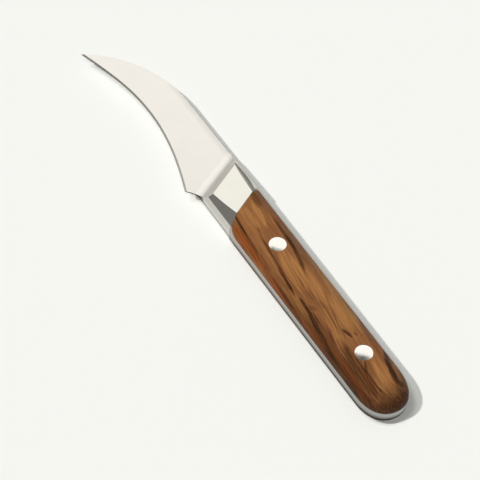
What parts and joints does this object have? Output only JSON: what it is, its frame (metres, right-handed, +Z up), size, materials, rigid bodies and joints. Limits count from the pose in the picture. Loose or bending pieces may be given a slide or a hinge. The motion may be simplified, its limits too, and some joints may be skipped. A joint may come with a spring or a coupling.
{
  "type": "bird's beak paring knife",
  "caption": "Forged paring knife with a downward curved blade, a faceted bolster, a full tang, wooden scales and round rivets, lying on its side.",
  "frame": {"origin": "centre of the bounding box's bottom face, on the surface that the knife lies on", "axes": "+X along the knife from the tip to the butt, +Y from the cutting edge to the spine, +Z up through the thickness"},
  "size_m": [0.1906, 0.0228, 0.0142],
  "materials": {
    "blade_steel": "satin",
    "handle_wood": "satin",
    "rivet_steel": "polished"
  },
  "bodies": {
    "root": {"knife_forging": "blade_steel", "upper_scale": "handle_wood", "lower_scale": "handle_wood", "front_rivet_barrel": "rivet_steel", "front_rivet_pin": "rivet_steel", "back_rivet_barrel": "rivet_steel", "back_rivet_pin": "rivet_steel"}
  },
  "joints": []
}
